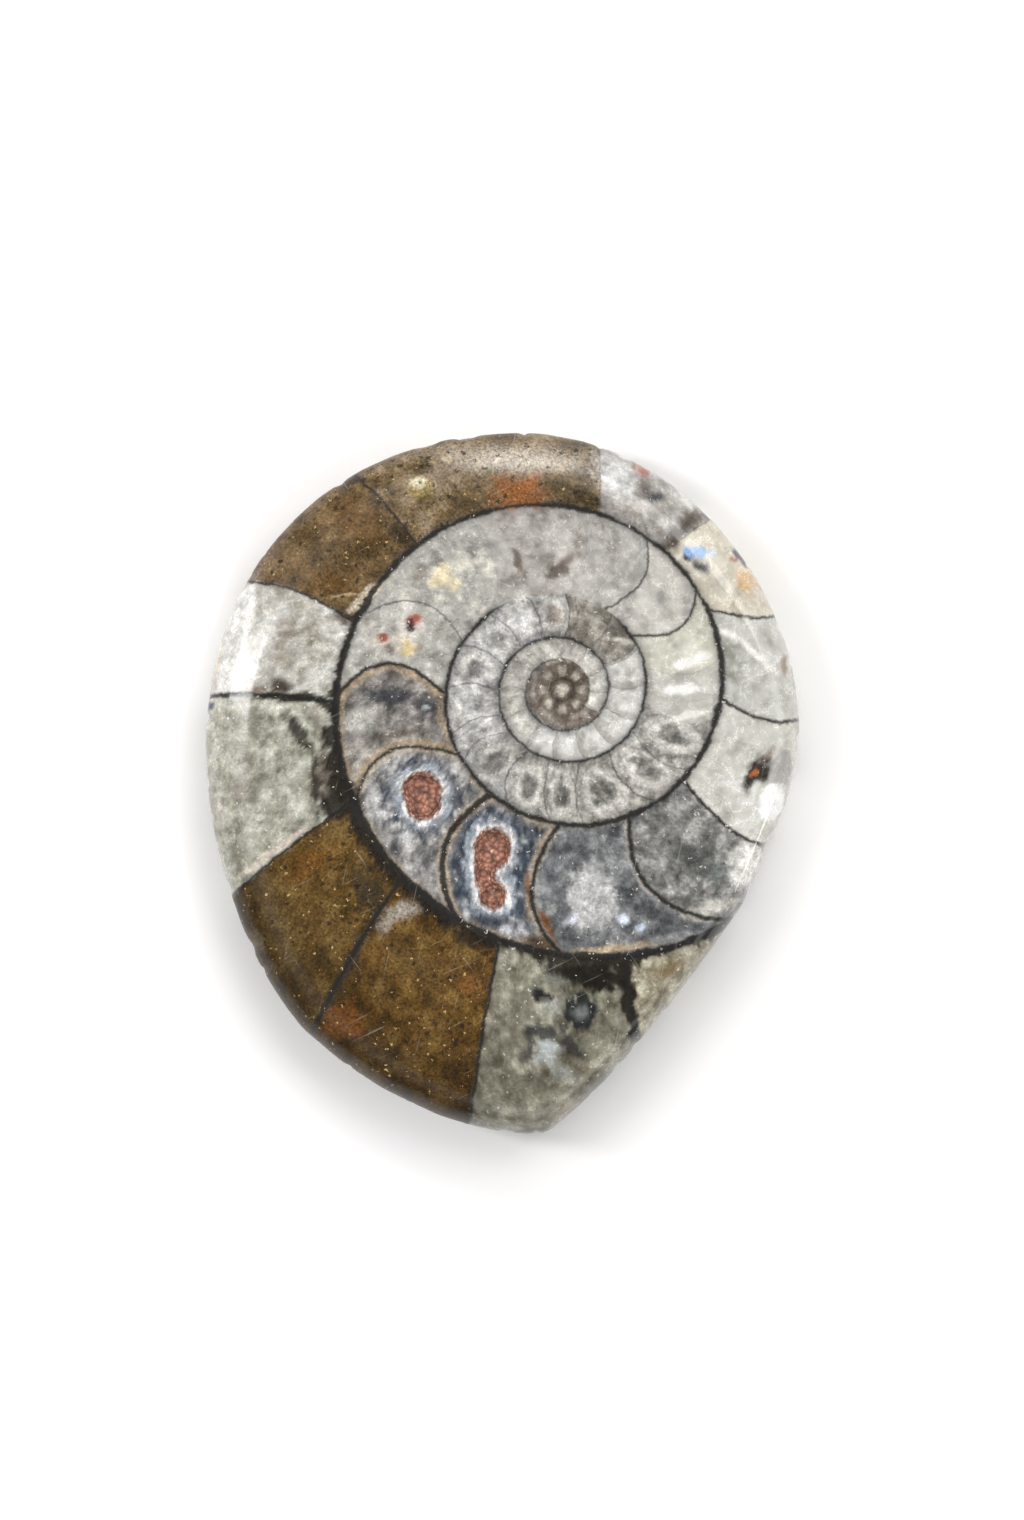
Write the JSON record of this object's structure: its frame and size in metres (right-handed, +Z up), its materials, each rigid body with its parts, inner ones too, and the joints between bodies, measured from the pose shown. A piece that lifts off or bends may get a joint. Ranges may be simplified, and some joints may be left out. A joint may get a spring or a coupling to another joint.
{
  "type": "polished goniatite fossil slice",
  "caption": "Flat polished slice of a coiled goniatite fossil in calcite and brown limestone, with a rounded rim; a display or collector's piece that lies on its sawn face.",
  "frame": {"origin": "middle of the slice's box, on the flat sawn underside that it lies on", "axes": "+Z up out of the polished face, +Y along the slice's long way from the pointed end to the rounded head, +X across it"},
  "size_m": [0.0382, 0.045, 0.0065],
  "materials": {
    "fossil_stone": "polished"
  },
  "bodies": {
    "root": {"goniatite_slice": "fossil_stone"}
  },
  "joints": []
}
